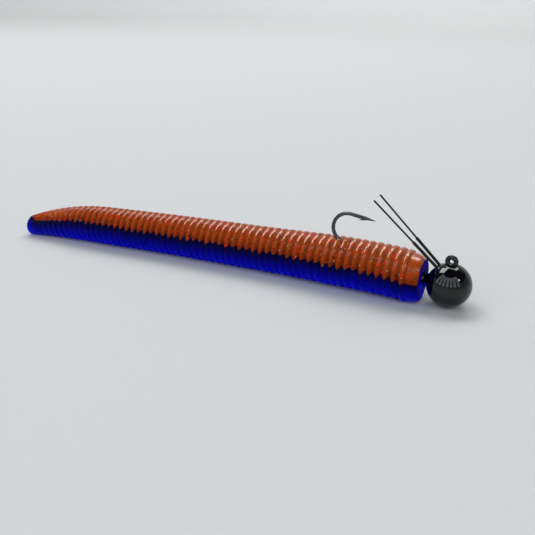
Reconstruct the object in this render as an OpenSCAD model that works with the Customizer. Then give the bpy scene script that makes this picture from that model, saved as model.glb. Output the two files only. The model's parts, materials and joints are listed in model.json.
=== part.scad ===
// Soft plastic worm, poured in two colours, rigged on a ball jig head with a two-strand weed guard.
// Millimetres. +X runs from the tail to the ball, +Z is up, and the origin is the centre of the line eye.
// The worm is drawn as six sections that turn on each other, so that a soft body can bend.

/* [Worm] */
// Length of the worm from its nose to its tail tip
worm_len = 102; // [85:1:125]
// Diameter over the ribs at the nose end
worm_d = 10.9; // [9.8:0.1:12]
// Diameter over the ribs where the tail starts to narrow
shoulder_d = 9.3; // [8:0.1:9.8]
// Distance from the nose to the place where the tail starts to narrow
shoulder_at = 77; // [65:1:82]
// Diameter of the blunt tail tip
tail_d = 4.6; // [3.4:0.1:6]
// Radius of the rounding round the tail tip
tail_round = 1.3; // [0.5:0.1:1.6]
// Length of the smooth rounded nose
nose_len = 4; // [3:0.1:7]
// Diameter of the flat face on the end of the nose
nose_face_d = 8; // [4:0.1:8]
// How deep the belly is pressed flat where it lies on a surface
belly_flat = 0.15; // [0.1:0.05:0.5]

/* [Ribs] */
// Distance from one rib crest to the next
rib_pitch = 1.68; // [1.2:0.02:2.4]
// Depth of the grooves between the ribs
rib_depth = 0.5; // [0.2:0.05:0.8]
// Length of the plain tail tip behind the last rib
tail_plain = 3.5; // [2:0.5:8]
// Length over which the last ribs fade out
rib_fade = 14; // [4:1:20]

/* [Two colours] */
// Height of the seam between the belly colour and the back colour above the surface it lies on
seam_h = 6.2; // [5.4:0.1:6.8]
// Length at the nose that is all of the belly colour
nose_lap = 0.6; // [0.5:0.1:2]

/* [Bends in the worm] */
// Distance from the rear of the hook to the first bend
bend_after_hook = 1.8; // [1:0.1:4]
// How much larger the round face of a bend is than the worm there
bend_margin = 0.9; // [0.5:0.1:1.5]
// Gap between the two round faces of a bend
bend_gap = 0.12; // [0.05:0.01:0.3]
// Thickness left at the rim of a hollow face
bend_rim = 0.2; // [0.1:0.05:0.4]
// Sideways turn of the whole worm at its nose as it lies
nose_turn = -3; // [-5:0.5:5]
// Sideways turn of the first bend as it lies
first_turn = 3.5; // [0:0.5:8]
// Sideways turn of the third bend as it lies
third_turn = 2.5; // [0:0.5:8]
// Sideways turn of the last bend as it lies
last_turn = 9; // [0:0.5:18]

/* [Ball head] */
// Diameter of the ball
ball_d = 9; // [8:0.1:10]
// Height of the hook shank above the middle of the ball
shank_rise = 0.55; // [0.2:0.05:1]
// Height of the line eye above the middle of the ball
eye_rise = 5.04; // [4.9:0.02:5.6]
// Gap between the ball and the nose of the worm
nose_gap = 0.9; // [0.3:0.1:2]
// Diameter of the collar that the worm is pushed on to
collar_d = 2; // [1.6:0.1:2.6]
// Length of the collar inside the worm
collar_in = 3.2; // [2:0.1:4]
// Height of the keeper barb round the collar
keeper_h = 0.35; // [0.1:0.05:0.6]
// Length of the keeper barb
keeper_len = 1; // [0.5:0.1:1.5]
// Gap between the head or the hook and the worm that grips them
grip_gap = 0.04; // [0.02:0.01:0.1]
// Cover left over the hook in front of the slit in the worm's back that it comes out of
slit_cover = 0.5; // [0.2:0.1:1]
// Gap between the hook and the head that is cast round it
cast_gap = 0.02; // [0.01:0.01:0.05]

/* [Hook] */
// Diameter of the hook wire
wire_d = 0.78; // [0.6:0.02:0.9]
// Diameter of the hole in the line eye
eye_bore = 1.04; // [0.9:0.02:1.3]
// Depth of the flat land round the hole in the line eye
eye_land = 0.04; // [0.02:0.01:0.08]
// Turn of the line eye about its leg
eye_turn = -13; // [-45:1:45]
// Radius of the elbow inside the ball
elbow_r = 1.2; // [0.8:0.1:2]
// Distance from the middle of the ball to the start of the heel
heel_at = 10.1; // [9.6:0.1:12]
// Radius of the heel, where the shank starts to rise
heel_r = 9; // [6:0.5:12]
// Angle of the heel
heel_angle = 26; // [20:1:30]
// Length of the straight wire from the heel to the throat
rise_len = 9.85; // [9:0.05:11]
// Radius of the throat
throat_r = 3.25; // [3:0.05:4]
// Angle of the throat
throat_angle = 163; // [155:1:170]
// Length of the point in front of the throat
point_len = 5.25; // [4.5:0.05:6.5]
// Length of the tapered tip of the point
tip_len = 2.3; // [1.5:0.1:3]
// Diameter of the sharp end of the point
tip_d = 0.06; // [0.04:0.01:0.1]
// Distance from the sharp end of the point to the free end of the barb
barb_at = 3.5; // [3:0.1:4]
// Length of the barb
barb_len = 1.1; // [0.6:0.1:1.4]
// Height of the barb
barb_h = 0.34; // [0.2:0.02:0.5]
// Width of the barb
barb_w = 0.3; // [0.2:0.02:0.5]

/* [Weed guard] */
// Length of a guard strand from the ball to its tip
guard_len = 18.3; // [14:0.1:20]
// Diameter of a guard wire
guard_wire_d = 0.38; // [0.2:0.02:0.4]
// Diameter of the sleeve round the lower part of a guard wire
sleeve_d = 0.62; // [0.5:0.02:0.8]
// Distance from the ball to the top of the sleeve
sleeve_top = 7; // [4:0.1:10]
// Gap between a guard wire and its sleeve
sleeve_gap = 0.03; // [0.02:0.01:0.05]
// Diameter of the round root of a guard strand
root_d = 0.9; // [0.8:0.02:1.2]
// Gap between the root of a guard strand and its pocket
root_gap = 0.06; // [0.03:0.01:0.15]
// Angle of the roots behind the top of the ball
root_back = 34.5; // [30:0.5:40]
// Angle of each root to the side
root_side = 12.2; // [10:0.2:18]
// Lean of the strands behind the vertical
guard_lean = 47; // [40:1:52]
// Angle that each strand spreads to its side
guard_spread = 3.8; // [2:0.2:8]

/* [Hidden] */
$fn = 48;
BENDS = 5;

// A bead closes the wire after each bend: how much it swells, and where the next stretch starts in it
bead_swell = wire_d / 60;
bead_skip = wire_d / 15;
// Larger than the object, for cutting tools
reach = 3 * worm_d;
// Heights and places that follow from the eye at the origin
wire_r = wire_d / 2;
eye_ring_r = eye_bore / 2 - eye_land + wire_r;
ball_z = -eye_rise;
floor_z = ball_z - ball_d / 2;
shank_z = ball_z + shank_rise;
nose_x = -ball_d / 2 - nose_gap;
seam_z = floor_z + seam_h;
collar_end = nose_x - collar_in;
// The hook's straight rise from the heel to the throat, and the rear of the hook
rise_x = -heel_at - heel_r * sin(heel_angle);
rise_z = shank_z + heel_r * (1 - cos(heel_angle));
rise_end_x = rise_x - rise_len * cos(heel_angle);
rise_end_z = rise_z + rise_len * sin(heel_angle);
throat_x = rise_end_x + throat_r * sin(heel_angle);
hook_rear = nose_x - (throat_x - throat_r - wire_r);
// The bends are spread evenly behind the hook
first_bend = hook_rear + bend_after_hook;
section_len = (worm_len - first_bend) / BENDS;
// The worm's axis sinks towards the tail, so that the belly lies on the surface all along
axis_h = worm_d / 2 - belly_flat;
body_drop = atan((worm_d - shoulder_d) / 2 / shoulder_at);
last_bend = bend_at(BENDS);
tail_axis_h = axis_h - last_bend * tan(body_drop);
tail_drop = atan((tail_axis_h - tail_d / 2 + belly_flat) / (worm_len - last_bend));
// Front end of the slit in the back, where the grooves still cover the rising hook
slit_z = groove_top(nose_x - rise_end_x) - slit_cover - (wire_r + grip_gap) / cos(heel_angle);
slit_x = rise_x - (slit_z - rise_z) / tan(heel_angle);
// Places on one rib, as shares of the pitch, that draw its rounded crest
RIB_STEPS = [0, 0.2, 0.5, 0.8];
// Places on the nose and the tail rounding, as angles
ROUND_STEPS = [15:15:90];

// Distance of a bend from the nose: its foremost point
function bend_at(i) = first_bend + (i - 1) * section_len;

// Radius of the round face of a bend
function bend_r(i) = crest_r(bend_at(i)) + bend_margin;

// Place of a bend's axis along the worm, and the height of the worm's own axis there
function bend_x(i) = nose_x - bend_at(i) - bend_r(i);
function bend_z(i) = floor_z + axis_h - (bend_at(i) + bend_r(i)) * tan(body_drop);

// Bends 1, 3 and 5 turn sideways, 2 and 4 turn up and down
function turns_sideways(i) = i % 2 == 1;

// Radius over the rib crests at a distance from the nose
function crest_r(s) =
    s < shoulder_at
    ? (worm_d + (shoulder_d - worm_d) * s / shoulder_at) / 2
    : (shoulder_d - (shoulder_d - tail_d) * pow((s - shoulder_at) / (worm_len - shoulder_at), 2)) / 2;

// Height of the bottom of the grooves along the back at a distance from the nose
function groove_top(s) = floor_z + axis_h - s * tan(body_drop) + crest_r(s) - rib_depth;

// How much of the full groove depth there is at a distance from the nose
function rib_share(s) = max(0, min(1, (worm_len - tail_plain - s) / rib_fade));

// Radius of the ribbed surface: round crests with a narrow groove between them
function ribbed_r(s) =
    crest_r(s) - rib_depth * rib_share(s) * (1 - abs(sin(180 * (s - nose_len) / rib_pitch)));

// Half outlines of the nose, the ribs and the tail tip, as points of radius and distance
function nose_points() = [
    for (a = ROUND_STEPS)
        let (swell = crest_r(nose_len) - rib_depth - nose_face_d / 2)
            [nose_face_d / 2 + swell * sin(a), nose_len * (1 - cos(a))]];

function rib_points(from, to) = [
    for (n = [0:ceil((to - nose_len) / rib_pitch)], step = RIB_STEPS)
        let (s = nose_len + (n + step) * rib_pitch)
            if (s > from && s < to) [ribbed_r(s), s]];

function tail_points() = [
    for (a = ROUND_STEPS)
        [tail_d / 2 - tail_round * (1 - cos(a)), worm_len - tail_round * (1 - sin(a))]];

// One length of the worm, turned about its axis and laid along -X with its belly side down
module worm_length(from, to, drop, start_h, start_s) {
    is_nose = from <= 0;
    is_tail = to >= worm_len;
    skip = rib_pitch / 10;
    first = is_nose ? nose_len + skip : from + skip;
    last = is_tail ? worm_len - tail_round : to - skip;
    outline = concat(
        is_nose ? [[0, 0], [nose_face_d / 2, 0]] : [[0, from], [ribbed_r(from), from]],
        is_nose ? nose_points() : [],
        rib_points(first, last),
        is_tail ? [[crest_r(last), last]] : [[ribbed_r(to), to], [0, to]],
        is_tail ? tail_points() : [],
        is_tail ? [[0, worm_len]] : []);
    translate([nose_x - start_s, 0, floor_z + start_h])
        rotate([0, -90 - drop, 0])
            translate([0, 0, -start_s])
                rotate_extrude()
                    polygon(outline);
}

// Everything behind a bend: a round face on the bend's own axis, and the space behind it
module behind_bend(i, extra) {
    radius = bend_r(i) + extra;
    translate([bend_x(i), 0, bend_z(i)]) {
        rotate([turns_sideways(i) ? 0 : 90, 0, 0])
            cylinder(h = 2 * reach, r = radius, center = true);
        translate([-2 * worm_len, -reach, -reach])
            cube([2 * worm_len, 2 * reach, 2 * reach]);
    }
}

// Distance from the nose at which the hollow face in front of a bend is cut off square
function rim_at(i) =
    let (radius = bend_r(i) + bend_gap, half = crest_r(bend_at(i)) - rib_depth - bend_rim)
        bend_at(i) + bend_r(i) - sqrt(radius * radius - half * half);

// One section in both colours, straight: a round face in front and a hollow face behind
module section_solid(i) {
    is_first = i == 1;
    is_last = i > BENDS;
    drop = is_last ? tail_drop : body_drop;
    front = is_first ? 0 : bend_at(i - 1);
    from = is_first ? 0 : front - crest_r(front) * tan(drop);
    to = is_last ? worm_len : rim_at(i);
    difference() {
        intersection() {
            worm_length(from, to, drop, is_last ? tail_axis_h : axis_h, is_last ? last_bend : 0);
            translate([nose_x - 2 * worm_len, -reach, floor_z])
                cube([3 * worm_len, 2 * reach, reach]);
            if (!is_first)
                behind_bend(i - 1, 0);
        }
        if (!is_last)
            behind_bend(i, bend_gap);
    }
}

// Turns what lies behind a place on the worm to the side
module lie_turned(x, angle) {
    translate([x, 0, 0])
        rotate([0, 0, angle])
            translate([-x, 0, 0])
                children();
}

// Puts a straight section where it lies
module lay_section(i) {
    lie_turned(nose_x, nose_turn)
        lie_turned(bend_x(1), i > 1 ? first_turn : 0)
            lie_turned(bend_x(3), i > 3 ? third_turn : 0)
                lie_turned(bend_x(BENDS), i > BENDS ? last_turn : 0)
                    children();
}

// The room in the first section for what it is threaded on
module threading() {
    hook_wire(wire_r + grip_gap, true);
    hook_slit();
    collar(grip_gap);
}

// The space that the back colour fills: above the seam, which sinks with the tail, and behind the nose lap
module back_space(i) {
    if (i > BENDS)
        translate([nose_x - last_bend, -reach, seam_z])
            rotate([0, -tail_drop, 0])
                translate([-worm_len, 0, 0])
                    cube([2 * worm_len, 2 * reach, 2 * reach]);
    else
        translate([nose_x - nose_lap - 2 * worm_len, -reach, seam_z])
            cube([2 * worm_len, 2 * reach, 2 * reach]);
}

// Back layer of one section: translucent orange-brown plastisol with flakes
module worm_back(i) {
    color("chocolate")
        difference() {
            lay_section(i)
                intersection() {
                    section_solid(i);
                    back_space(i);
                }
            if (i == 1)
                threading();
        }
}

// Belly layer of one section: blue plastisol
module worm_belly(i) {
    color("mediumblue")
        difference() {
            lay_section(i)
                difference() {
                    section_solid(i);
                    back_space(i);
                }
            if (i == 1)
                threading();
        }
}

// A straight stretch of wire, or of a square channel for it, and what follows it
module wire_run(len, radius, is_channel) {
    translate([0, 0, bead_skip])
        if (is_channel)
            translate([-radius, -radius, 0])
                cube([2 * radius, 2 * radius, len - bead_skip]);
        else
            cylinder(h = len - bead_skip, r = radius);
    translate([0, 0, len])
        children();
}

// A bent stretch of wire, or of a square channel for it, with a bead at its end and what follows it
module wire_turn(bend, angle, radius, is_channel) {
    translate([bend, 0, 0])
        rotate([90, 0, 180])
            rotate_extrude(angle = angle)
                translate([bend, 0])
                    if (is_channel)
                        square(2 * radius, center = true);
                    else
                        circle(r = radius);
    translate([bend * (1 - cos(angle)), 0, bend * sin(angle)])
        rotate([0, angle, 0]) {
            if (is_channel)
                rotate([90, 0, 0])
                    cylinder(h = 2 * radius, r = radius + bead_swell, center = true);
            else
                sphere(r = radius + bead_swell);
            children();
        }
}

// The hook's wire from the shank to the end of the throat, and what follows it
module hook_wire(radius, is_channel) {
    translate([-elbow_r, 0, shank_z])
        rotate([0, -90, 0])
            wire_run(heel_at - elbow_r, radius, is_channel)
                wire_turn(heel_r, heel_angle, radius, is_channel)
                    wire_run(rise_len, radius, is_channel)
                        wire_turn(throat_r, throat_angle, radius, is_channel)
                            children();
}

// The eye's leg and the elbow inside the ball
module hook_leg(radius) {
    translate([0, 0, -eye_ring_r])
        rotate([0, 180, 0])
            wire_run(-eye_ring_r - shank_z - elbow_r, radius, false)
                wire_turn(elbow_r, 90, radius, false);
}

// Slit in the worm's back that the hook comes out of: the space over its wire where it nears the surface
module hook_slit() {
    half = wire_r + grip_gap + bead_skip;
    rotate([90, 0, 0])
        linear_extrude(2 * half, center = true)
            polygon([[slit_x, slit_z], [rise_end_x, rise_end_z], [rise_end_x, reach], [slit_x, reach]]);
}

// Line eye: a closed ring of the hook's wire with a land round its hole
module eye_ring(extra) {
    rotate([0, 0, eye_turn])
        rotate([90, 0, 0])
            difference() {
                rotate_extrude()
                    translate([eye_ring_r, 0])
                        circle(r = wire_r + extra);
                cylinder(h = reach, r = eye_bore / 2 - extra, center = true);
            }
}

// Point of the hook with its barb on the side of the shank
module hook_point() {
    root_z = point_len - barb_at;
    wire_run(point_len - tip_len, wire_r, false)
        cylinder(h = tip_len, r1 = wire_r, r2 = tip_d / 2);
    rotate([90, 0, 0])
        linear_extrude(barb_w, center = true)
            polygon([[0, root_z + barb_len], [wire_r + barb_h, root_z], [0, root_z + barb_len / 3]]);
}

// Hook: one hardened wire that carries the eye, the shank, the throat and the barbed point
module hook() {
    color("dimgray") {
        eye_ring(0);
        hook_leg(wire_r);
        hook_wire(wire_r, false)
            hook_point();
    }
}

// Collar behind the ball with a keeper barb that grips the worm
module collar(extra) {
    radius = collar_d / 2 + extra;
    translate([0, 0, shank_z])
        rotate([0, -90, 0]) {
            cylinder(h = -collar_end + extra, r = radius);
            translate([0, 0, -collar_end - keeper_len])
                cylinder(h = keeper_len + extra, r1 = radius + keeper_h, r2 = radius);
        }
}

// Places a strand with its root on the ball, on the left (1) or the right (-1)
module guard_place(side) {
    translate([0, 0, ball_z])
        rotate([0, -root_back, 0])
            rotate([-side * root_side, 0, 0])
                translate([0, 0, ball_d / 2])
                    rotate([side * root_side, 0, 0])
                        rotate([0, root_back - guard_lean, 0])
                            rotate([-side * guard_spread, 0, 0])
                                children();
}

// Ball head: cast round the hook, with a pocket for each guard strand
module ball_head() {
    color("black")
        difference() {
            union() {
                translate([0, 0, ball_z])
                    sphere(d = ball_d);
                collar(0);
            }
            hook_leg(wire_r + cast_gap);
            hook_wire(wire_r + cast_gap, false);
            eye_ring(cast_gap);
            for (side = [1, -1])
                guard_place(side)
                    sphere(d = root_d + 2 * root_gap);
        }
}

// Guard wire: a springy strand with a round root in the ball and a round tip
module guard_wire(side) {
    color("dimgray")
        guard_place(side) {
            sphere(d = root_d);
            cylinder(h = guard_len - guard_wire_d / 2, d = guard_wire_d);
            translate([0, 0, guard_len - guard_wire_d / 2])
                sphere(d = guard_wire_d);
        }
}

// Guard sleeve: a tube on the lower part of the guard wire, seated on its root
module guard_sleeve(side) {
    seat = root_d / 2 + sleeve_gap;
    bore = guard_wire_d + 2 * sleeve_gap;
    color("black")
        guard_place(side)
            translate([0, 0, seat])
                difference() {
                    cylinder(h = sleeve_top - seat, d = sleeve_d);
                    cylinder(h = 3 * sleeve_top, d = bore, center = true);
                }
}

ball_head();
hook();
guard_wire(1);  // guard_wire_left
guard_wire(-1);  // guard_wire_right
guard_sleeve(1);  // guard_sleeve_left
guard_sleeve(-1);  // guard_sleeve_right
for (i = [1:BENDS + 1]) {
    worm_back(i);
    worm_belly(i);
}
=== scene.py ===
import json
import math
import random

import bpy
import numpy as np
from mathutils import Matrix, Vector


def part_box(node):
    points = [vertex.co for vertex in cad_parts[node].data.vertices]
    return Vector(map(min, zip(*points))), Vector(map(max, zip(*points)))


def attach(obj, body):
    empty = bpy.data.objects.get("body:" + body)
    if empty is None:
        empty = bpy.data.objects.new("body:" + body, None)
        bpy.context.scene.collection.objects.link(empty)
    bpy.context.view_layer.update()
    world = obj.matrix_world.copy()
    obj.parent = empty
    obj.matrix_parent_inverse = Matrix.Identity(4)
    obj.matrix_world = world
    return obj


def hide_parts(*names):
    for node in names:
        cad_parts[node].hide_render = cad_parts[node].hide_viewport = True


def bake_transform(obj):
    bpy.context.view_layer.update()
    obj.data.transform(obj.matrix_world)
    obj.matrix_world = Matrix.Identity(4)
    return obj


# The rig as it lies on a table: its solids and joints come from the frame, with the line eye at the origin.
# The camera stands low in front of the rig, on its right side, a hand's breadth from the ball.
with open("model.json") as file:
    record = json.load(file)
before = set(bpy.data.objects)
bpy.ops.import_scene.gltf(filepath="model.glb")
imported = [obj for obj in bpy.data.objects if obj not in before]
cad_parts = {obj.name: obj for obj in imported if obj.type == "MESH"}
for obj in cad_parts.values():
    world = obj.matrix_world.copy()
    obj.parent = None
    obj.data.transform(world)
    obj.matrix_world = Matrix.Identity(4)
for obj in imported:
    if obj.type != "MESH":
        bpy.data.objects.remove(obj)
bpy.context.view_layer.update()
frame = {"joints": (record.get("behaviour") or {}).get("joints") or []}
MM = 0.001
JOINTS = {joint["name"]: joint for joint in frame["joints"]}
CAMERA_PLACE = (16.7, -121.9, 49.16)
CAMERA_TURN = (66.8, 0, 24.89)
PICTURE_SIDE_PX = 535
CAMERA_REACH_PX = 650
SENSOR_WIDTH = 36
CAMERA_NEAR = 0.005

camera = bpy.data.objects.new("camera", bpy.data.cameras.new("camera"))
camera.data.sensor_width = SENSOR_WIDTH
camera.data.lens = SENSOR_WIDTH * CAMERA_REACH_PX / PICTURE_SIDE_PX
camera.data.clip_start = CAMERA_NEAR
camera.location = Vector(CAMERA_PLACE) * MM
camera.rotation_euler = [math.radians(angle) for angle in CAMERA_TURN]
bpy.context.scene.collection.objects.link(camera)
bpy.context.scene.camera = camera
bpy.context.scene.view_settings.view_transform = "Standard"

# Hook: one length of hardened wire under polished black nickel plate. Its eye is closed on top of the ball,
# its elbow is cast inside the ball, and its shank runs inside the worm until the throat comes out of the
# worm's back.
WIRE_R = 0.39
WIRE_SIDES = 24
WIRE_STEP = 0.12
EYE_R = 0.87
EYE_TURN = -13
EYE_FREE_END = (-0.5437, -1.15)
EYE_FREE_HEADING = 90
EYE_FOOT_R = 0.45
EYE_FOOT_TURN = 70
EYE_BENDS = [(0.3, 0), (0.4, 42), (EYE_R, -292), (EYE_FOOT_R, EYE_FOOT_TURN)]
LEG_LEN = 2.049
SHANK_BENDS = [(1.2, -90), (8.9, 0), (9, -26), (9.85, 0), (3.25, -163), (5.25, 0)]
POINT_TIP_LEN = 2.3
POINT_TIP_R = 0.03
POINT_TAPER = 0.85
BARB_ROOT = 2.0
BARB_END = 3.6
BARB_H = 0.42
BARB_HALF_W = 0.17
BARB_HALF_T = 0.17
BARB_EDGE = 0.02
BARB_STEPS = 10
BARB_SIDES = 10
NICKEL = (0.055, 0.054, 0.057, 1)
NICKEL_WEAR = 1.7
NICKEL_BUMP = 4e-6
SMEAR_START = 0.35
SMEAR_FULL = 0.7
SMEAR_HEIGHT = 0.4
SCRATCH_FINENESS = 9.0


def bent_wire(start, heading, bends):
    """Points along a wire bent in one plane. A bend is a length with no turn, or a radius with its turn."""
    points = [np.array(start, float)]
    for size, turn in bends:
        length = size * math.radians(abs(turn)) if turn else size
        count = math.ceil(length / WIRE_STEP)
        for _ in range(count):
            middle = math.radians(heading + turn / count / 2)
            points.append(points[-1] + length / count * np.array([math.cos(middle), math.sin(middle)]))
            heading += turn / count
    return points, heading


def stand_up(points, turn):
    """Puts points of a plane upright in space, turned about the vertical."""
    return [Vector((u * math.cos(turn), u * math.sin(turn), z)) for u, z in points]


def rings_along(path, sizes, sides):
    """Rings of points round a path. A size is a radius, or two half widths, and the rings don't twist."""
    rings = []
    ahead = (path[1] - path[0]).normalized()
    side = ahead.cross(Vector((0, 1, 0)))
    side = (side if side.length > 0.1 else ahead.orthogonal()).normalized()
    for i, point in enumerate(path):
        new_ahead = (path[min(i + 1, len(path) - 1)] - path[max(i - 1, 0)]).normalized()
        side.rotate(ahead.rotation_difference(new_ahead))
        ahead = new_ahead
        across = ahead.cross(side)
        wide, thick = sizes[i] if isinstance(sizes[i], tuple) else (sizes[i], sizes[i])
        turns = [2 * math.pi * k / sides for k in range(sides)]
        rings.append([point + thick * math.cos(a) * side + wide * math.sin(a) * across for a in turns])
    return rings


def loft(rings):
    """Points and faces of a closed skin over a row of rings, with a flat cap at each end."""
    sides = len(rings[0])
    points = [point for ring in rings for point in ring]
    faces = []
    for row in range(len(rings) - 1):
        for k in range(sides):
            low = row * sides
            after = (k + 1) % sides
            faces.append((low + k, low + after, low + sides + after, low + sides + k))
    faces.append(tuple(reversed(range(sides))))
    faces.append(tuple(range(len(points) - sides, len(points))))
    return points, faces


def make_piece(name, lofts, material):
    """One mesh object in metres from lofts in millimetres, smooth but for its flat caps."""
    points = []
    faces = []
    for loft_points, loft_faces in lofts:
        faces += [tuple(len(points) + k for k in face) for face in loft_faces]
        points += [tuple(MM * c for c in point) for point in loft_points]
    mesh = bpy.data.meshes.new(name)
    mesh.from_pydata(points, [], faces)
    mesh.polygons.foreach_set("use_smooth", [len(face) == 4 for face in faces])
    rims = {key for face in mesh.polygons if len(face.vertices) > 4 for key in face.edge_keys}
    for edge in mesh.edges:
        edge.use_edge_sharp = edge.key in rims
    mesh.materials.append(material)
    piece = bpy.data.objects.new(name, mesh)
    bpy.context.scene.collection.objects.link(piece)
    return piece


def put_node(tree, kind, settings=None, **inputs):
    """Adds a shader node, sets its options and fills or links its inputs by name."""
    made = tree.nodes.new("ShaderNode" + kind)
    for option, value in (settings or {}).items():
        setattr(made, option, value)
    for socket, value in inputs.items():
        plug(tree, made.inputs[socket.replace("_", " ")], value)
    return made


def plug(tree, socket, value):
    """Links a socket to another one, or sets its value."""
    if isinstance(value, bpy.types.NodeSocket):
        tree.links.new(value, socket)
    else:
        socket.default_value = value


def maths(tree, operation, *values):
    """A math node on one to three values or sockets."""
    made = tree.nodes.new("ShaderNodeMath")
    made.operation = operation
    for socket, value in zip(made.inputs, values):
        plug(tree, socket, value)
    return made.outputs[0]


def mix_colours(tree, share, first, second):
    """A colour that goes from the first to the second by a share."""
    made = tree.nodes.new("ShaderNodeMix")
    made.data_type = "RGBA"
    for socket, value in zip((made.inputs[0], made.inputs[6], made.inputs[7]), (share, first, second)):
        plug(tree, socket, value)
    return made.outputs[2]


def rise(tree, value, low, high):
    """A smooth rise from 0 to 1 as a value goes from low to high."""
    made = put_node(tree, "MapRange", {"interpolation_type": "SMOOTHSTEP"})
    for socket, given in zip(made.inputs, (value, low, high)):
        plug(tree, socket, given)
    return made.outputs[0]


def start_group(name, inputs, outputs):
    """An empty shader node group with its named sockets, and its two end nodes."""
    group = bpy.data.node_groups.new(name, "ShaderNodeTree")
    for socket, kind in inputs.items():
        group.interface.new_socket(socket, in_out="INPUT", socket_type="NodeSocket" + kind)
    for socket, kind in outputs.items():
        group.interface.new_socket(socket, in_out="OUTPUT", socket_type="NodeSocket" + kind)
    return group, group.nodes.new("NodeGroupInput").outputs, group.nodes.new("NodeGroupOutput").inputs


def place_group(tree, group, **inputs):
    """Places a node group in a material with its own values, and gives its outputs."""
    made = tree.nodes.new("ShaderNodeGroup")
    made.node_tree = group
    for socket, value in inputs.items():
        plug(tree, made.inputs[socket.replace("_", " ")], value)
    return made.outputs


def start_material(name, **constants):
    """A material with its shader's plain numbers set."""
    material = bpy.data.materials.new(name)
    material.use_nodes = True
    shader = material.node_tree.nodes["Principled BSDF"]
    for socket, value in constants.items():
        shader.inputs[socket.replace("_", " ")].default_value = value
    return material, material.node_tree, shader.inputs


# Soft smears and fine scratches from handling, on hard surfaces
marks_group, given, put_out = start_group(
    "handling_marks",
    {"Place": "Vector", "Smear Size": "Float", "Least": "Float", "Most": "Float"},
    {"Roughness": "Float", "Height": "Float"})
smears = put_node(
    marks_group, "TexNoise", None, Vector=given["Place"], Scale=given["Smear Size"], Detail=4.0)
fine = maths(marks_group, "MULTIPLY", given["Smear Size"], SCRATCH_FINENESS)
scratches = put_node(
    marks_group, "TexNoise", None, Vector=given["Place"], Scale=fine, Detail=6.0, Distortion=1.5)
smeared = rise(marks_group, smears.outputs["Fac"], SMEAR_START, SMEAR_FULL)
span = maths(marks_group, "SUBTRACT", given["Most"], given["Least"])
rough = maths(marks_group, "MULTIPLY_ADD", smeared, span, given["Least"])
plug(marks_group, put_out["Roughness"], rough)
height = maths(marks_group, "MULTIPLY_ADD", smeared, SMEAR_HEIGHT, scratches.outputs["Fac"])
plug(marks_group, put_out["Height"], height)


def bump_from(tree, height, distance):
    """A normal raised by a height of so many metres."""
    bump = put_node(tree, "Bump", None, Height=height, Distance=distance, Strength=1.0)
    return bump.outputs["Normal"]


def object_place(tree):
    """Places on an object, in metres."""
    return put_node(tree, "TexCoord").outputs["Object"]


nickel, tree, sockets = start_material("black_nickel_plate", Metallic=1.0, IOR=1.8)
marks = place_group(tree, marks_group, Place=object_place(tree), Smear_Size=700.0, Least=0.12, Most=0.3)
worn_nickel = tuple(NICKEL_WEAR * c for c in NICKEL[:3]) + (1,)
plug(tree, sockets["Base Color"], mix_colours(tree, marks["Height"], NICKEL, worn_nickel))
plug(tree, sockets["Roughness"], marks["Roughness"])
plug(tree, sockets["Normal"], bump_from(tree, marks["Height"], NICKEL_BUMP))

eye_points, heading = bent_wire(EYE_FREE_END, EYE_FREE_HEADING, EYE_BENDS)
leg_points, heading = bent_wire(eye_points[-1], heading, [(LEG_LEN, 0)])
shank_points, heading = bent_wire(leg_points[-1], heading, SHANK_BENDS)
hook_path = stand_up(eye_points, math.radians(EYE_TURN))
hook_path += stand_up(leg_points[1:] + shank_points[1:], 0)
point_tip = hook_path[-1]
point_run = (hook_path[-1] - hook_path[-2]).normalized()
point_under = Vector((point_run.z, 0, -point_run.x))
hook_radii = [
    POINT_TIP_R
    + (WIRE_R - POINT_TIP_R) * min(1, (place - point_tip).length / POINT_TIP_LEN) ** POINT_TAPER
    for place in hook_path]
barb_steps = [k / BARB_STEPS for k in range(BARB_STEPS + 1)]
barb_path = [
    point_tip
    - (BARB_ROOT + (BARB_END - BARB_ROOT) * k) * point_run
    + (WIRE_R - BARB_HALF_T + (BARB_H + BARB_HALF_T) * k) * point_under
    for k in barb_steps]
barb_sizes = [
    tuple(BARB_EDGE + half * math.cos(math.pi / 2 * k) for half in (BARB_HALF_W, BARB_HALF_T))
    for k in barb_steps]
hook = make_piece(
    "hook_wire",
    [
        loft(rings_along(hook_path, hook_radii, WIRE_SIDES)),
        loft(rings_along(barb_path, barb_sizes, BARB_SIDES))],
    nickel)
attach(hook, "head")
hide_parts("hook")

# Ball head: a round weight cast over the hook's elbow, with a collar and a keeper barb for the worm behind
# it, dipped in glossy black enamel. The enamel coats the eye, and creeps up a little where the eye and the
# guard strands come out.
BALL_R = 4.5
BALL_SIDES = 144
BALL_RINGS = 96
POLE_GAP = 0.01
COLLAR_R = 1.0
COLLAR_RISE = 0.55
FILLET_R = 1.45
FILLET_STEPS = 8
COLLAR_START = -4.85
KEEPER_START = -7.6
KEEPER_R = 1.35
KEEPER_STEP = 0.05
COLLAR_END = -8.6
ENAMEL = (0.0015, 0.0015, 0.002, 1)
ENAMEL_WAVE = 2.5e-5
EYE_SHEATH = 0.1
EYE_CREEP = 0.22
EYE_CREEP_W = 0.5
EYE_ENTRY = 0.72
ROOT_CREEP = 0.16
ROOT_CREEP_W = 0.45
GUARDS = {
    side: Vector(JOINTS[f"guard_{side}_flex"]["pos_m"]) / MM
    for side in ("left", "right")}
ball_middle = Vector((0, 0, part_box("ball_head")[0].z / MM + BALL_R))
collar_z = ball_middle.z + COLLAR_RISE
collar_lean = math.asin((collar_z - ball_middle.z) / BALL_R)
collar_way = Vector((-math.cos(collar_lean), 0, math.sin(collar_lean)))


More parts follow.
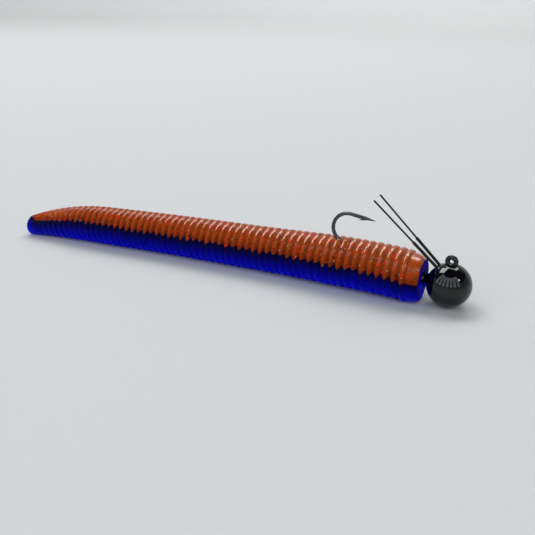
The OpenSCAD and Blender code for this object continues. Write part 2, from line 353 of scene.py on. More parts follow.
def flat_ring(middle, way, radius, sides):
    """A ring round a point, square to a direction in the upright plane."""
    across = Vector((0, 1, 0))
    up = way.cross(across)
    turns = [2 * math.pi * k / sides for k in range(sides)]
    return [middle + radius * (math.cos(a) * across + math.sin(a) * up) for a in turns]


def enamel_creep(point):
    """How far the enamel stands up at a point on the ball."""
    eye_way = Vector((math.cos(math.radians(EYE_TURN)), math.sin(math.radians(EYE_TURN)), 0))
    top = ball_middle + Vector((0, 0, BALL_R))
    feet = [(top + end * EYE_ENTRY * eye_way, EYE_CREEP, EYE_CREEP_W) for end in (1, -1)]
    feet += [(root, ROOT_CREEP, ROOT_CREEP_W) for root in GUARDS.values()]
    return sum(height * math.exp(-((point - foot).length / width) ** 2) for foot, height, width in feet)


ball_rings = []
fillet_turn = math.asin(FILLET_R / BALL_R)
for k in range(BALL_RINGS + 1):
    turn = math.pi - POLE_GAP - (math.pi - POLE_GAP - fillet_turn) * k / BALL_RINGS
    middle = ball_middle + BALL_R * math.cos(turn) * collar_way
    ring = flat_ring(middle, collar_way, BALL_R * math.sin(turn), BALL_SIDES)
    ball_rings.append([p + enamel_creep(p) * (p - ball_middle).normalized() for p in ring])
fillet_start = ball_middle + BALL_R * math.cos(fillet_turn) * collar_way
collar_start = Vector((COLLAR_START, 0, collar_z))
for k in range(1, FILLET_STEPS + 1):
    turn = math.pi / 2 * k / FILLET_STEPS
    middle = fillet_start.lerp(collar_start, 1 - math.cos(turn))
    radius = COLLAR_R + (FILLET_R - COLLAR_R) * (1 - math.sin(turn))
    way = collar_way.lerp(Vector((-1, 0, 0)), k / FILLET_STEPS).normalized()
    ball_rings.append(flat_ring(middle, way, radius, BALL_SIDES))
collar_ends = [(KEEPER_START, COLLAR_R), (KEEPER_START - KEEPER_STEP, KEEPER_R), (COLLAR_END, COLLAR_R)]
for x, radius in collar_ends:
    ball_rings.append(flat_ring(Vector((x, 0, collar_z)), Vector((-1, 0, 0)), radius, BALL_SIDES))

eye_path = hook_path[:len(eye_points)]
eye_rings = rings_along(eye_path, [WIRE_R + EYE_SHEATH] * len(eye_path), WIRE_SIDES)

enamel, tree, sockets = start_material("black_enamel", Base_Color=ENAMEL, Specular_IOR_Level=0.45)
marks = place_group(tree, marks_group, Place=object_place(tree), Smear_Size=260.0, Least=0.02, Most=0.05)
plug(tree, sockets["Roughness"], marks["Roughness"])
waves = put_node(tree, "TexNoise", None, Vector=object_place(tree), Scale=330.0, Detail=1.0)
plug(tree, sockets["Normal"], bump_from(tree, waves.outputs["Fac"], ENAMEL_WAVE))
ball = make_piece("ball_and_collar", [loft(ball_rings), loft(eye_rings)], enamel)
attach(ball, "head")
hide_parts("ball_head")

# Weed guard wires: two thin springy strands of dark steel, cast into the ball and cut blunt at their tips.
# They lean back over the hook's point and give way when a fish bites.
GUARD_LEN = 18.3
GUARD_WIRE_R = 0.19
GUARD_LEAN = math.radians(47)
GUARD_SPREAD = math.radians(3.8)
GUARD_STEP = 0.3
GUARD_SIDES = 14
GUARD_TIP_SHARE = 0.8
GUARD_TIP_EDGE = 0.05
STRAND_STEEL = (0.014, 0.0135, 0.0135, 1)
STRAND_WORN = (0.034, 0.032, 0.031, 1)
STRAND_BUMP = 5e-6


def guard_way(side):
    """The direction of a strand out of the ball."""
    across = math.sin(GUARD_SPREAD) * (1 if side == "left" else -1)
    along = math.cos(GUARD_SPREAD)
    return Vector((-along * math.sin(GUARD_LEAN), across, along * math.cos(GUARD_LEAN)))


def let_flex(piece):
    """Bakes a strand piece's placement into its mesh."""
    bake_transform(piece)


strand_steel, tree, sockets = start_material("strand_steel", Metallic=0.85)
marks = place_group(tree, marks_group, Place=object_place(tree), Smear_Size=900.0, Least=0.3, Most=0.5)
plug(tree, sockets["Base Color"], mix_colours(tree, marks["Height"], STRAND_STEEL, STRAND_WORN))
plug(tree, sockets["Roughness"], marks["Roughness"])
plug(tree, sockets["Normal"], bump_from(tree, marks["Height"], STRAND_BUMP))
for side, root in GUARDS.items():
    count = round(GUARD_LEN / GUARD_STEP)
    path = [root + GUARD_LEN * k / count * guard_way(side) for k in range(-1, count + 1)]
    radii = [GUARD_WIRE_R] * (count + 1) + [GUARD_TIP_SHARE * GUARD_WIRE_R]
    path.insert(-1, path[-1] - GUARD_TIP_EDGE * guard_way(side))
    radii.insert(-1, GUARD_WIRE_R)
    rings = rings_along(path, radii, GUARD_SIDES)
    strand = make_piece(f"guard_strand_{side}", [loft(rings)], strand_steel)
    let_flex(strand)
    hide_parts(f"guard_wire_{side}")

# Guard sleeves: short lengths of thin black tube, slid over the strands and shrunk on down to the ball.
# They stiffen the lower part of the guard, and each ends in a soft cut lip.
SLEEVE_R = 0.31
SLEEVE_TOP = 7.0
SLEEVE_FOOT = -0.3
SLEEVE_SIDES = 18
SLEEVE_STEPS = 24
SLEEVE_WAVE = 0.02
SLEEVE_WAVE_RATE = 2.1
SLEEVE_LIP = 0.06
SLEEVE_LIP_SHARE = 0.85
SLEEVE_CUT = 0.01
SLEEVE_CUT_SHARE = 0.5
SLEEVE_BLACK = (0.006, 0.006, 0.006, 1)
SLEEVE_BUMP = 8e-6
tube_black, tree, sockets = start_material("shrunk_tube", Base_Color=SLEEVE_BLACK, Specular_IOR_Level=0.22)
marks = place_group(tree, marks_group, Place=object_place(tree), Smear_Size=1200.0, Least=0.32, Most=0.5)
plug(tree, sockets["Roughness"], marks["Roughness"])
plug(tree, sockets["Normal"], bump_from(tree, marks["Height"], SLEEVE_BUMP))
for side, root in GUARDS.items():
    run = SLEEVE_TOP - SLEEVE_LIP - SLEEVE_FOOT
    along = [SLEEVE_FOOT + run * k / SLEEVE_STEPS for k in range(SLEEVE_STEPS + 1)]
    radii = [SLEEVE_R * (1 + SLEEVE_WAVE * math.sin(SLEEVE_WAVE_RATE * place)) for place in along]
    along += [SLEEVE_TOP, SLEEVE_TOP + SLEEVE_CUT]
    radii += [SLEEVE_LIP_SHARE * SLEEVE_R, SLEEVE_CUT_SHARE * SLEEVE_R]
    path = [root + place * guard_way(side) for place in along]
    rings = rings_along(path, radii, SLEEVE_SIDES)
    sleeve = make_piece(f"guard_tube_{side}", [loft(rings)], tube_black)
    let_flex(sleeve)
    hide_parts(f"guard_sleeve_{side}")

# Worm, belly colour: the first of two pours of soft plastic in a ribbed mould, deep blue. It makes the whole
# face of the nose, sunk in round the ball's collar. Its blue is painted darker just under the seam as shade,
# and painted brighter lower down and towards the nose as a glow, as if light shone through it. The collar and
# the hook's shank sit inside.
WORM_LEN = 102.0
WORM_D = 10.9
SHOULDER_D = 9.3
SHOULDER_AT = 77.0
TAIL_D = 4.6
TAIL_ROUND = 1.3
TAIL_TURN = math.radians(12)
NOSE_LEN = 2.32
NOSE_FACE_R = 4.0
# The nose's face from the collar outward, as distances from the nose and radii
NOSE_FACE = [
    (1.2, 1.03), (0.85, 1.15), (0.5, 1.4), (0.2, 1.8),
    (0.0, 2.3), (-0.06, 2.8), (-0.06, 3.3), (-0.03, 3.8)]
FACE_SHARE = 0.9
# A plug of the belly fills the hollow front of the back
PLUG_END = 1.4
PLUG_SHARE = 0.88
PLUG_ROOM = 0.9
NOSE_SAG = 0.6
NOSE_SAG_LEN = 4.0
BELLY_FLAT = 0.15
RIB_PITCH = 1.68
RIB_DEPTH = 0.42
TAIL_PLAIN = 3.5
RIB_FADE = 14.0
RIB_STEPS = 12
GROOVE_SHARPNESS = 3
SEAM_H = 6.2
SEAM_SINKS_AT = 85.9
SEAM_SINK = math.tan(math.radians(8))
SEAM_NOSE_DROP = 1.2
SEAM_NOSE_LEN = 5.0
SEAM_MOST = 0.98
SEAM_CLOSING = 2
SEAM_LEAST = 0.04
NOSE_LAP = 0.06
TONGUE = 0.8
TONGUE_LEAST = 0.5
TONGUE_MOST = 1.25
TONGUE_MIDDLE = 0.45
TONGUE_NOSE = 0.3
BACK_ENDS = 100.6
BULGE = 0.18
BULGE_AT = 18.0
BULGE_W = 11.0
FLOOR_Z = ball_middle.z - BALL_R
BELLY_SIDES = 60
LAP_SIDES = 26
NOSE_DEGREES = 5
TIP_DEGREES = 9
PLACE_ROOM = 0.01
LIE_STEP = 0.5
# The depth below the seam whose blue the nose's face takes between painted shade and painted glow, and how
# fast the tail's tip gains depth
FACE_DEPTH = 2.6
TIP_DEPTH = 3.2
# Painted shade just under the seam, the plain blue, and a painted glow lower down as if lit through the
# plastic
BLUE_PAINTED_SHADE = (0.0, 0.0, 0.025, 1)
BLUE = (0.0, 0.0, 0.45, 1)
BLUE_PAINTED_GLOW = (0.0, 0.0, 0.95, 1)
# Depths below the seam, and distances from the nose, over which the painted shade gives way to plain blue,
# the painted glow comes in, the nose glows more and the face turns rough
BLUE_FROM = 0.3
BLUE_FULL = 4.6
LIT_FROM = 3.0
LIT_FULL = 6.4
NOSE_PAINTED_GLOW = 0.4
GLOW_FROM = 45.0
GLOW_FULL = 10.0
FACE_DULL_FROM = 1.2
FACE_DULL_FULL = -0.6
BELLY_BUMP = 1.5e-5
CLOUD_SPAN = 0.5
CLOUD_LEAST = 0.75
GRAIN_ROUGH = 0.2
SKIN_ROUGH = 0.16
GROOVE_ROUGH = 0.35

nose_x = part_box("worm_belly_1")[1].x / MM
bends = [np.array(JOINTS[f"bend_{i}"]["pos_m"][:2]) / MM for i in range(1, 6)]
bend_places = [np.linalg.norm(bends[0] - (nose_x, 0))]
for before, bend in zip(bends, bends[1:]):
    bend_places.append(bend_places[-1] + np.linalg.norm(bend - before))
tail_left = WORM_LEN - bend_places[-1]
tail_end = bends[-1] - tail_left * np.array([math.cos(TAIL_TURN), math.sin(TAIL_TURN)])
corners = [np.array([nose_x, 0.0])] + bends + [tail_end]


def lie_curve(corners, count=40):
    """A smooth line in plan that rounds off every corner of a row of straight runs."""
    middles = [(a + b) / 2 for a, b in zip(corners, corners[1:])]
    points = [corners[0], middles[0]]
    for before, corner, after in zip(middles, corners[1:-1], middles[1:]):
        for t in np.linspace(0, 1, count)[1:]:
            points.append((1 - t) ** 2 * before + 2 * t * (1 - t) * corner + t * t * after)
    return np.array(points + [corners[-1]])


def nearest_groove(s):
    """The groove between two ribs that lies nearest to a distance from the nose."""
    return NOSE_LEN + RIB_PITCH * round((s - NOSE_LEN) / RIB_PITCH)


BORDERS = [0]
BORDERS += [nearest_groove((a + b) / 2) for a, b in zip(bend_places, bend_places[1:])]
BORDERS += [WORM_LEN]
lie_points = lie_curve(corners)
lie_places = np.concatenate([[0], np.cumsum(np.linalg.norm(np.diff(lie_points, axis=0), axis=1))])
lie_places *= WORM_LEN / lie_places[-1]


def lie_at(s):
    """The place of the worm's axis in plan at a distance from its nose, and the direction to its left."""
    here, near, far = (
        np.array([np.interp(s + d, lie_places, lie_points[:, c]) for c in (0, 1)])
        for d in (0, -LIE_STEP, LIE_STEP))
    run = (near - far) / np.linalg.norm(near - far)
    return here, np.array([-run[1], run[0]])


def crest_r(s):
    """Radius over the rib crests."""
    if s < SHOULDER_AT:
        plain = (WORM_D + (SHOULDER_D - WORM_D) * s / SHOULDER_AT) / 2
    else:
        share = min(1, (s - SHOULDER_AT) / (WORM_LEN - SHOULDER_AT))
        plain = (SHOULDER_D - (SHOULDER_D - TAIL_D) * share ** 2) / 2
    return plain + BULGE * math.exp(-((s - BULGE_AT) / BULGE_W) ** 2)


def rib_share(s):
    """How much of the full groove depth there is."""
    return max(0, min(1, (WORM_LEN - TAIL_PLAIN - s) / RIB_FADE))


def rib_crest(s):
    """1 on a rib's crest and 0 in the groove between two ribs."""
    turn = math.pi * (s - NOSE_LEN) / RIB_PITCH
    return 1 - abs(math.cos(turn)) ** GROOVE_SHARPNESS if s > NOSE_LEN else 0.0


def skin_r(s):
    """Radius of the worm's skin: a rounded nose, ribs with narrow grooves, and a blunt rounded tail tip."""
    groove_r = crest_r(s) - RIB_DEPTH * rib_share(s)
    if s < NOSE_LEN:
        return NOSE_FACE_R + (groove_r - NOSE_FACE_R) * math.sqrt(1 - (1 - max(0, s) / NOSE_LEN) ** 2)
    radius = groove_r + RIB_DEPTH * rib_share(s) * rib_crest(s)
    past = max(0, s - WORM_LEN + TAIL_ROUND)
    return radius - TAIL_ROUND + math.sqrt(max(0, TAIL_ROUND ** 2 - past ** 2))


ragged = random.Random(5)
tongues = [ragged.uniform(TONGUE_LEAST, TONGUE_MOST) for _ in range(math.ceil(WORM_LEN / RIB_PITCH))]


def seam_height(s):
    """Height of the seam above the table: back colour hangs down in uneven tongues on the crests."""
    sunk = SEAM_SINK * math.log1p(math.exp(min(40, s - SEAM_SINKS_AT)))
    sunk += SEAM_NOSE_DROP * math.exp(-(s / SEAM_NOSE_LEN) ** 2)
    rib, along = divmod((s - NOSE_LEN) / RIB_PITCH, 1)
    tongue = tongues[int(rib)] * (1 - abs(2 * along - 1)) if s > NOSE_LEN else TONGUE_NOSE
    return SEAM_H - sunk + TONGUE * rib_share(s) * (TONGUE_MIDDLE - tongue)


def axis_height(s):
    """Height of the worm's axis above the table: the nose sags a little in front of the hook."""
    return crest_r(s) - BELLY_FLAT - NOSE_SAG * math.exp(-(s / NOSE_SAG_LEN) ** 2)


def seam_turn(s):
    """Angle of the seam above the horizontal, seen along the worm's axis."""
    share = (seam_height(s) - axis_height(s)) / skin_r(s)
    turn = math.asin(max(-1, min(SEAM_MOST, share)))
    left = math.sqrt(max(0, min(1, (BACK_ENDS - s) / SEAM_CLOSING)))
    return math.pi / 2 - max(SEAM_LEAST, (math.pi / 2 - turn) * left)


def stations(start, end):
    """Distances from the nose at which the skin has a ring."""
    nose = [NOSE_LEN * (1 - math.cos(math.radians(a))) for a in range(0, 90, NOSE_DEGREES)]
    nose += [NOSE_LAP, PLUG_END]
    step = RIB_PITCH / RIB_STEPS
    ribs = [NOSE_LEN + step * k for k in range(int((WORM_LEN - TAIL_ROUND - NOSE_LEN) / step))]
    tip = [WORM_LEN - TAIL_ROUND * (1 - math.sin(math.radians(a))) for a in range(0, 91, TIP_DEGREES)]
    return [s for s in sorted(set(nose + ribs + tip)) if start - PLACE_ROOM < s < end + PLACE_ROOM]


def skin_point(s, turn, radius):
    """A point round the worm's axis, with the belly pressed flat on the table."""
    (x, y), left = lie_at(s)
    out = radius * math.cos(turn)
    height = max(0.0, axis_height(s) + radius * math.sin(turn))
    return Vector((x + out * left[0], y + out * left[1], FLOOR_Z + height))


def round_arc(s, start, end, sides):
    """Points of the skin from one angle to another, with both ends."""
    turns = [start + (end - start) * k / (sides - 1) for k in range(sides)]
    return [(turn, skin_r(s)) for turn in turns]


def seam_chord(s, sides):
    """Points of the hidden face between the colours, from one seam to the other, without the ends."""
    edge = seam_turn(s)
    half = skin_r(s) * math.cos(edge)
    height = skin_r(s) * math.sin(edge)
    spots = [(half * (2 * k / (sides + 1) - 1), height) for k in range(1, sides + 1)]
    return [(math.atan2(z, y), math.hypot(y, z)) for y, z in spots]


def skin_piece(name, rows, sharp_columns, material):
    """A worm skin from rows of (distance, [(angle, radius)]), with what its painted shade, glow and gloss
    read at every point.
    """
    rings = [[skin_point(s, turn, radius) for turn, radius in row] for s, row in rows]
    piece = make_piece(name, [loft(rings)], material)
    mesh = piece.data
    sides = len(rows[0][1])
    places = []
    crests = []
    depths = []
    for s, row in rows:
        edge = seam_turn(s)
        # The nose's face and the tail's tip take set depths, and so set places between painted shade and
        # painted glow
        on_face = s < NOSE_LAP or row[0][1] < FACE_SHARE * skin_r(s)
        end_depth = FACE_DEPTH if on_face else TIP_DEPTH * (s - BACK_ENDS)
        for turn, radius in row:
            lift = turn - math.pi / 2
            places += [s, skin_r(s) * lift, radius]
            crests.append(rib_crest(s) * rib_share(s) + 1 - rib_share(s) if s > NOSE_LEN else 1.0)
            round_top = abs((lift + math.pi) % (2 * math.pi) - math.pi)
            depths.append(max(end_depth, skin_r(s) * (round_top - math.pi / 2 + edge)))
    mesh.attributes.new("skin_place", "FLOAT_VECTOR", "POINT").data.foreach_set("vector", places)
    mesh.attributes.new("rib_crest", "FLOAT", "POINT").data.foreach_set("value", crests)
    mesh.attributes.new("below_seam", "FLOAT", "POINT").data.foreach_set("value", depths)
    sharp_rows = {0, len(rows) - 1}
    for edge in mesh.edges:
        first, second = edge.vertices
        same_column = first % sides == second % sides and first % sides in sharp_columns
        same_row = first // sides == second // sides and first // sides in sharp_rows
        edge.use_edge_sharp = same_column or same_row
    return piece


def let_bend(piece):
    """Bakes a length of skin's placement into its mesh."""
    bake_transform(piece)


# Painted shade in the grooves, a random cloudy tone, and the roughness and fine grain that both pours of soft
# plastic share
plastisol_group, given, put_out = start_group(
    "plastisol_skin",
    {"Place": "Vector", "Rib Crest": "Float", "Groove Shade": "Float"},
    {"Shade": "Float", "Roughness": "Float", "Height": "Float"})
grain = put_node(plastisol_group, "TexNoise", None, Vector=given["Place"], Scale=5.0, Detail=5.0)
cloud = put_node(plastisol_group, "TexNoise", None, Vector=given["Place"], Scale=0.5, Detail=3.0)
# Painted shade: the colour is darkened in the grooves between the ribs
groove = maths(plastisol_group, "SUBTRACT", 1.0, given["Rib Crest"])
shaded = maths(plastisol_group, "MULTIPLY", groove, given["Groove Shade"])
shade = maths(plastisol_group, "MULTIPLY_ADD", shaded, -1.0, 1.0)
clouded = maths(plastisol_group, "MULTIPLY_ADD", cloud.outputs["Fac"], CLOUD_SPAN, CLOUD_LEAST)
plug(plastisol_group, put_out["Shade"], maths(plastisol_group, "MULTIPLY", shade, clouded))
rough = maths(plastisol_group, "MULTIPLY_ADD", grain.outputs["Fac"], GRAIN_ROUGH, SKIN_ROUGH)
rough = maths(plastisol_group, "MULTIPLY_ADD", groove, GROOVE_ROUGH, rough)
plug(plastisol_group, put_out["Roughness"], rough)
plug(plastisol_group, put_out["Height"], grain.outputs["Fac"])


def skin_values(tree):
    """What a skin's points carry: the place on the skin, the rib crest and the depth below the seam."""
    place, crest, depth = (
        put_node(tree, "Attribute", {"attribute_name": name}).outputs
        for name in ("skin_place", "rib_crest", "below_seam"))
    return place["Vector"], crest["Fac"], depth["Fac"]


def darken(tree, colour, shade):
    """A colour multiplied by a shade."""
    made = put_node(tree, "VectorMath", {"operation": "SCALE"})
    plug(tree, made.inputs[0], colour)
    plug(tree, made.inputs["Scale"], shade)
    return made.outputs[0]


belly_blue, tree, sockets = start_material("belly_plastisol", Specular_IOR_Level=0.04)
place, crest, depth = skin_values(tree)
skin = place_group(tree, plastisol_group, Place=place, Rib_Crest=crest, Groove_Shade=0.3)
along = put_node(tree, "SeparateXYZ", None, Vector=place).outputs["X"]
# Painted glow: the blue near the nose is pushed further towards the painted glow
depth = maths(tree, "MULTIPLY_ADD", rise(tree, along, GLOW_FROM, GLOW_FULL), NOSE_PAINTED_GLOW, depth)
# Painted shade just under the seam gives way to plain blue, then to painted glow lower down
low_blue = mix_colours(tree, rise(tree, depth, BLUE_FROM, BLUE_FULL), BLUE_PAINTED_SHADE, BLUE)
colour = mix_colours(tree, rise(tree, depth, LIT_FROM, LIT_FULL), low_blue, BLUE_PAINTED_GLOW)
plug(tree, sockets["Base Color"], darken(tree, colour, skin["Shade"]))
dull_face = rise(tree, along, FACE_DULL_FROM, FACE_DULL_FULL)
plug(tree, sockets["Roughness"], maths(tree, "MAXIMUM", skin["Roughness"], dull_face))
plug(tree, sockets["Normal"], bump_from(tree, skin["Height"], BELLY_BUMP))

last_part = len(bend_places) - 1
for part in range(last_part + 1):
    rows = []
    if part == 0:
        edge = seam_turn(0)
        face = round_arc(0, math.pi - edge, 2 * math.pi + edge, BELLY_SIDES)
        face += round_arc(0, edge, math.pi - edge, LAP_SIDES + 2)[1:-1]
        for s, radius in NOSE_FACE:
            rows.append((s, [(turn, radius) for turn, _ in face]))
    for s in stations(BORDERS[part], BORDERS[part + 1]):
        edge = seam_turn(s)
        outer = round_arc(s, math.pi - edge, 2 * math.pi + edge, BELLY_SIDES)
        lap = round_arc(s, edge, math.pi - edge, LAP_SIDES + 2)[1:-1]
        if s <= NOSE_LAP:
            rows.append((s, outer + lap))
        if NOSE_LAP <= s <= PLUG_END:
            rows.append((s, outer + [(turn, PLUG_SHARE * skin_r(NOSE_LAP)) for turn, _ in lap]))
        if s >= PLUG_END:
            rows.append((s, outer + seam_chord(s, LAP_SIDES)[::-1]))
    belly = skin_piece(
        f"worm_skin_belly_{part + 1}", rows, {0, BELLY_SIDES - 1}, belly_blue)
    let_bend(belly)
    covered = [f"worm_belly_{part + 1}"] + (["worm_belly_6"] if part == last_part else [])
    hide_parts(*covered)

# Worm, back colour: the second pour, an orange brown with red and black flakes stirred in, and tiny pale
# specks painted in as glints. Its orange is painted darker near the seam as shade and lighter along the top
# as light. It fuses to the belly pour along a ragged seam, and the hook's throat comes up through a small
# slit in it.
BACK_SIDES = 64
BACK_CHORD_SIDES = 14
SLIT_X = -22.2
SLIT_LEN = 1.1
SLIT_W = 0.34
SLIT_DEEP = 0.6
SLIT_AHEAD = 0.7
LIP_LEN = 1.9
LIP_W = 1.0
LIP_H = 0.36
# Orange with painted shade near the seam and painted light along the top
ORANGE_PAINTED_SHADE = (0.2, 0.021, 0.001, 1)
ORANGE = (0.31, 0.044, 0.002, 1)
ORANGE_PAINTED_LIGHT = (0.38, 0.075, 0.01, 1)
# Heights above the seam, and distances from the nose, over which the painted shade, the painted light on the
# top and the gloss change
ORANGE_FULL = 2.0
TOP_FROM = 3.0
TOP_FULL = 6.5
TAIL_DULL = 0.4
TAIL_DULL_FROM = 25.0
TAIL_DULL_FULL = 75.0
WET_FROM = 2.0
WET_FULL = 4.6
BACK_BUMP = 2e-5
FLAKE_RED = (0.62, 0.012, 0.006, 1)
FLAKE_BLACK = (0.015, 0.008, 0.006, 1)
# Pale pink of tiny specks painted in as glints
PAINTED_GLINT_PINK = (0.75, 0.5, 0.44, 1)
FLAKE_WARP = 0.5

# Flakes lie scattered one to a cell, and only in some cells
flake_group, given, put_out = start_group(
    "flake_scatter",
    {"Place": "Vector", "Cells": "Float", "Size": "Float", "Share": "Float"},
    {"Mask": "Float"})
warp = put_node(flake_group, "TexNoise", None, Vector=given["Place"], Scale=2.2, Detail=2.0)
warped = put_node(flake_group, "VectorMath", {"operation": "MULTIPLY_ADD"})
plug(flake_group, warped.inputs[0], warp.outputs["Color"])
warped.inputs[1].default_value = (FLAKE_WARP, FLAKE_WARP, FLAKE_WARP)
plug(flake_group, warped.inputs[2], given["Place"])
cells = put_node(flake_group, "TexVoronoi", None, Vector=warped.outputs[0], Scale=given["Cells"])
kept = put_node(flake_group, "SeparateColor", None, Color=cells.outputs["Color"]).outputs[0]
inside = maths(flake_group, "LESS_THAN", cells.outputs["Distance"], given["Size"])
filled = maths(flake_group, "LESS_THAN", kept, given["Share"])
plug(flake_group, put_out["Mask"], maths(flake_group, "MULTIPLY", inside, filled))

back_orange, tree, sockets = start_material(
    "back_plastisol", Specular_IOR_Level=0.05, Coat_IOR=1.6, Coat_Roughness=0.17)
place, crest, depth = skin_values(tree)
above = maths(tree, "MULTIPLY", depth, -1.0)
skin = place_group(tree, plastisol_group, Place=place, Rib_Crest=crest, Groove_Shade=0.35)
# Painted shade near the seam, then painted light along the top
colour = mix_colours(tree, rise(tree, above, 0.0, ORANGE_FULL), ORANGE_PAINTED_SHADE, ORANGE)
colour = mix_colours(tree, rise(tree, above, TOP_FROM, TOP_FULL), colour, ORANGE_PAINTED_LIGHT)
colour = darken(tree, colour, skin["Shade"])
red = place_group(tree, flake_group, Place=place, Cells=1.0, Size=0.25, Share=0.6)["Mask"]
black = place_group(tree, flake_group, Place=place, Cells=1.6, Size=0.27, Share=0.42)["Mask"]
# Tiny pale specks painted in as glints
painted_glints = place_group(tree, flake_group, Place=place, Cells=1.25, Size=0.12, Share=0.35)["Mask"]
colour = mix_colours(tree, painted_glints, colour, PAINTED_GLINT_PINK)
colour = mix_colours(tree, red, colour, FLAKE_RED)
colour = mix_colours(tree, black, colour, FLAKE_BLACK)
plug(tree, sockets["Base Color"], colour)
plug(tree, sockets["Roughness"], skin["Roughness"])
along = put_node(tree, "SeparateXYZ", None, Vector=place).outputs["X"]
to_tail = rise(tree, along, TAIL_DULL_FROM, TAIL_DULL_FULL)
wet = maths(tree, "MULTIPLY_ADD", to_tail, -TAIL_DULL, 1.0)
wet = maths(tree, "MULTIPLY", wet, rise(tree, above, WET_FROM, WET_FULL))
plug(tree, sockets["Coat Weight"], maths(tree, "MULTIPLY", wet, crest))
plug(tree, sockets["Normal"], bump_from(tree, skin["Height"], BACK_BUMP))


def back_turns(s):
    """Angles of the back's columns from the far seam to the near one, closer together along its top."""
    edge = seam_turn(s)
    spread = [2 * k / (BACK_SIDES - 1) - 1 for k in range(BACK_SIDES)]
    return [math.pi / 2 + (math.pi / 2 - edge) * u * (0.5 + 0.5 * u * u) for u in spread]


def slit_lift(s, turn):
    """How far the plastic is drawn up round the hook, or parted by it."""
    spot = skin_point(s, turn, skin_r(s))
    along = spot.x - SLIT_X
    lip = LIP_H * math.exp(-(along / LIP_LEN) ** 2 - (spot.y / LIP_W) ** 2)
    return lip - SLIT_DEEP * math.exp(-((along - SLIT_AHEAD) / SLIT_LEN) ** 2 - (spot.y / SLIT_W) ** 2)


for part in range(last_part + 1):
    rows = []
    for s in stations(max(NOSE_LAP, BORDERS[part]), min(BACK_ENDS, BORDERS[part + 1])):
        outer = [(turn, skin_r(s) + (slit_lift(s, turn) if part == 0 else 0)) for turn in back_turns(s)]
        inner = seam_chord(s, BACK_CHORD_SIDES)
        if s <= PLUG_END:
            edge = seam_turn(s)
            hollow = round_arc(s, math.pi - edge, edge, BACK_CHORD_SIDES + 2)[1:-1]
            inner = [(turn, PLUG_ROOM * skin_r(NOSE_LAP)) for turn, _ in hollow]
        rows.append((s, outer + inner))
    back = skin_piece(
        f"worm_skin_back_{part + 1}", rows, {0, BACK_SIDES - 1}, back_orange)
    let_bend(back)
    covered = [f"worm_back_{part + 1}"] + (["worm_back_6"] if part == last_part else [])
    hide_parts(*covered)

# Table and light: a plain pale floor that sweeps up into a wall all round, paler behind the rig. It is lit by
# a bright window box up and to the left, softer boxes behind, two small lamps, and a bank of tall strip
# lights on the camera's side.
FLOOR_PALE = (0.5, 0.496, 0.487, 1)
WALL_PALE = (0.86, 0.855, 0.84, 1)
FLOOR_R = 1.5
FLOOR_FLAT = 0.98
PALER_FROM = 0.5
SWEEP_R = 0.5
SWEEP_STEPS = 12
WALL_TOP = 0.95
STAGE_SIDES = 128
WORLD_GREY = (0.04, 0.041, 0.043, 1)
STRIP_SPREAD = 20
STRIPS_EACH_WAY = 3
STRIP_FLAT = math.cos(math.radians(36))
STRIP_UP = math.sin(math.radians(36))
LIT_MIDDLE = Vector((-40, 0, -5)) * MM

profile = [(FLOOR_FLAT * FLOOR_R, 0.0), (FLOOR_R, 0.0)]
for k in range(1, SWEEP_STEPS + 1):
    turn = math.pi / 2 * k / SWEEP_STEPS
    profile.append((FLOOR_R + SWEEP_R * math.sin(turn), SWEEP_R * (1 - math.cos(turn))))
profile.append((FLOOR_R + SWEEP_R, WALL_TOP))
around = [2 * math.pi * k / STAGE_SIDES for k in range(STAGE_SIDES)]
stage_points = [
    (radius * math.cos(turn), radius * math.sin(turn), z + FLOOR_Z * MM)
    for radius, z in profile for turn in around]
stage_faces = [tuple(range(STAGE_SIDES))]
for row in range(len(profile) - 1):
    for k in range(STAGE_SIDES):
        low = row * STAGE_SIDES
        after = (k + 1) % STAGE_SIDES
        stage_faces.append((low + k, low + after, low + STAGE_SIDES + after, low + STAGE_SIDES + k))
stage_mesh = bpy.data.meshes.new("pale_floor")
stage_mesh.from_pydata(stage_points, [], stage_faces)
stage_mesh.polygons.foreach_set("use_smooth", [len(face) == 4 for face in stage_faces])
floor = bpy.data.objects.new("pale_floor", stage_mesh)
bpy.context.scene.collection.objects.link(floor)
paper, tree, sockets = start_material("pale_paper", Roughness=0.8, Specular_IOR_Level=0.2)
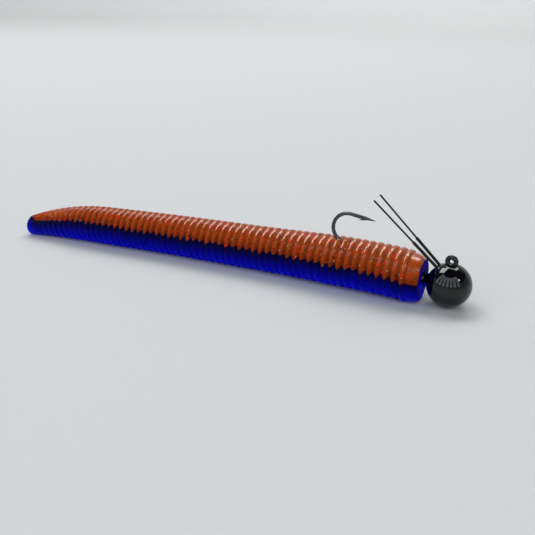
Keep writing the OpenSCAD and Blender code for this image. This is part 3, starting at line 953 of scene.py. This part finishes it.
behind = put_node(tree, "SeparateXYZ", None, Vector=object_place(tree)).outputs["Y"]
paler = rise(tree, behind, PALER_FROM * FLOOR_R, FLOOR_R + SWEEP_R)
plug(tree, sockets["Base Color"], mix_colours(tree, paler, FLOOR_PALE, WALL_PALE))
stage_mesh.materials.append(paper)

world = bpy.data.worlds.new("studio")
world.use_nodes = True
world.node_tree.nodes["Background"].inputs["Color"].default_value = WORLD_GREY
bpy.context.scene.world = world


def soft_box(name, way, distance, size, power, colour=(1, 1, 1)):
    """A soft rectangular light that faces the rig from a direction."""
    lamp = bpy.data.lights.new(name, "AREA")
    lamp.shape = "RECTANGLE"
    lamp.size, lamp.size_y = size
    lamp.energy = power
    lamp.color = colour
    light = bpy.data.objects.new(name, lamp)
    light.location = LIT_MIDDLE + distance * Vector(way).normalized()
    light.rotation_euler = Vector(way).to_track_quat("Z", "Y").to_euler()
    light.visible_camera = False
    bpy.context.scene.collection.objects.link(light)


soft_box(
    "window_box", (-0.48, 0.24, 0.86),
    distance=1.8, size=(0.88, 0.72), power=17.0, colour=(0.95, 0.97, 1.0))
soft_box(
    "skylight_box", (0.0, 0.58, 0.81),
    distance=1.7, size=(1.15, 0.7), power=14.5, colour=(0.97, 0.985, 1.0))
soft_box(
    "sky_box", (-0.12, 0.74, 0.67),
    distance=1.6, size=(2.6, 1.0), power=2.0, colour=(0.97, 0.985, 1.0))
soft_box("left_lamp", (-0.93, 0.3, 0.16), distance=1.8, size=(0.14, 0.2), power=2.6)
soft_box("right_lamp", (0.727, -0.222, 0.642), distance=1.8, size=(0.14, 0.18), power=2.6)
for k in range(-STRIPS_EACH_WAY, STRIPS_EACH_WAY + 1):
    turn = math.radians(STRIP_SPREAD * k)
    way = (math.sin(turn) * STRIP_FLAT, -math.cos(turn) * STRIP_FLAT, STRIP_UP)
    soft_box(
        f"strip_{k + STRIPS_EACH_WAY + 1}", way,
        distance=1.8, size=(0.36, 1.6), power=3.4, colour=(0.84, 0.92, 1.0))
